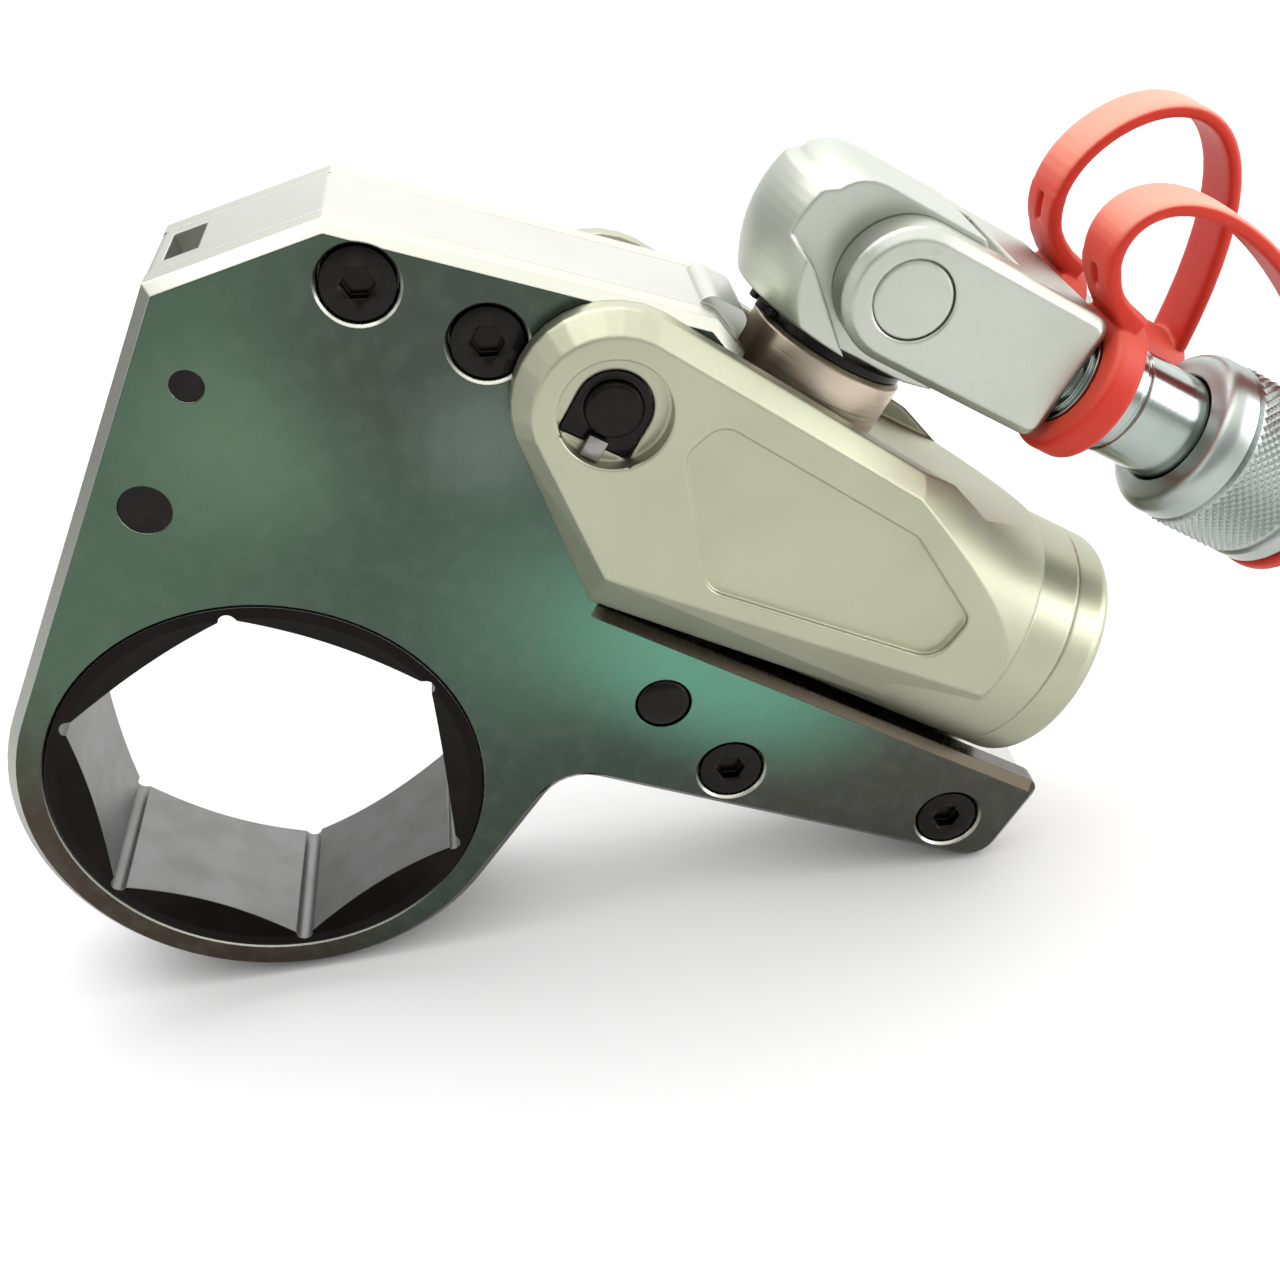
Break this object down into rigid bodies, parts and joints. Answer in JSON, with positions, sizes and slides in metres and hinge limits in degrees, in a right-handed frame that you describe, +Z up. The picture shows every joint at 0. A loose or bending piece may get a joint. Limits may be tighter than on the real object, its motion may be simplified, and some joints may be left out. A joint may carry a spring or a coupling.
{
  "type": "hydraulic torque wrench",
  "caption": "Low-profile hydraulic torque wrench: hexagon ratchet link between side plates, piston head in a fork, swivel yoke with capped hose couplers.",
  "frame": {"origin": "centre of the hexagon socket, midway between the side plates", "axes": "+Y along the hexagon's axis to the rear, +Z up with the tool standing on its nose and arm tip, +X towards the arm"},
  "size_m": [0.2483, 0.0558, 0.1489],
  "materials": {
    "side_plate_steel": "ground faces with bright bevels",
    "bright_steel": "fine-ground, nearly white",
    "black_steel": "black oxide",
    "socket_steel": "dark hardened steel, satin hexagon walls",
    "drive_steel": "machined",
    "head_alloy": "satin, warm grey anodised",
    "post_steel": "turned, brownish grey",
    "chrome": "plated",
    "red_rubber": "matt moulded",
    "seal_rubber": "black seal"
  },
  "bodies": {
    "frame": {"front_side_plate": "side_plate_steel", "rear_side_plate": "side_plate_steel", "top_spacer": "bright_steel", "reaction_block": "bright_steel", "link_screws": "black_steel", "spacer_dowel": "black_steel", "lever_stop_pin": "black_steel", "holding_pawl_pivot": "drive_steel", "holding_pawl_spring": "drive_steel", "button_spring": "drive_steel", "cylinder_body": "head_alloy", "end_cap": "head_alloy", "rod_gland": "drive_steel", "rod_seal": "seal_rubber", "link_pin": "black_steel", "link_pin_clip": "chrome", "swivel_post": "post_steel", "post_seals": "seal_rubber", "post_retaining_ring": "black_steel"},
    "socket": {"ratchet_socket": "socket_steel"},
    "lever": {"drive_lever": "drive_steel", "drive_pawl_springs": "drive_steel"},
    "drive_shoe": {"drive_pawl": "drive_steel"},
    "catch": {"holding_pawl": "drive_steel"},
    "button": {"release_button": "black_steel"},
    "ram": {"piston": "drive_steel", "piston_seal": "seal_rubber", "piston_rod": "chrome", "rod_cross_pin": "drive_steel"},
    "swivel": {"swivel_block": "head_alloy"},
    "hose_yoke": {"yoke": "head_alloy", "pivot_pins": "head_alloy", "near_coupler_body": "chrome", "near_dust_cap": "red_rubber", "far_coupler_body": "chrome", "far_dust_cap": "red_rubber"},
    "collar": {"near_coupler_collar": "chrome"}
  },
  "joints": [
    {"name": "swivel_turn", "type": "hinge", "parent": "frame", "child": "swivel", "pos_m": [0.11578, 0, 0.06958], "axis": [0.5764, 0, 0.8171], "continuous": true},
    {"name": "yoke_tilt", "type": "hinge", "parent": "swivel", "child": "hose_yoke", "pos_m": [0.12155, 0, 0.07776], "axis": [0, -1, 0], "range_deg": [0, 75]},
    {"name": "collar_turn", "type": "hinge", "parent": "hose_yoke", "child": "collar", "pos_m": [0.18038, -0.0135, 0.03625], "axis": [0.8171, 0, -0.5764], "continuous": true},
    {"name": "socket_turn", "type": "hinge", "parent": "frame", "child": "socket", "pos_m": [0, 0, 0], "axis": [0, -1, 0], "continuous": true},
    {"name": "piston_stroke", "type": "slide", "parent": "frame", "child": "ram", "axis": [-0.8171, 0, 0.5764], "range_m": [0, 0.0324]},
    {"name": "lever_swing", "type": "hinge", "parent": "frame", "child": "lever", "pos_m": [0, 0, 0], "axis": [0, -1, 0], "range_deg": [0, 22.6]},
    {"name": "drive_pawl_slide", "type": "slide", "parent": "lever", "child": "drive_shoe", "axis": [0.7106, 0, 0.7036], "range_m": [-0.0025, 0], "stiffness_N_per_m": 500, "deforming": ["drive_pawl_springs"]},
    {"name": "holding_pawl_turn", "type": "hinge", "parent": "frame", "child": "catch", "pos_m": [0.04905, 0, -0.00766], "axis": [0, 1, 0], "range_deg": [-9.5, 0], "stiffness_Nm_per_rad": 0.05},
    {"name": "button_press", "type": "slide", "parent": "frame", "child": "button", "axis": [0, 1, 0], "range_m": [0, 0.0025], "stiffness_N_per_m": 600, "deforming": ["button_spring"]}
  ],
  "couplings": [
    {"joint": "lever_swing", "follows": "piston_stroke", "rad_per_m": 12.12}
  ]
}
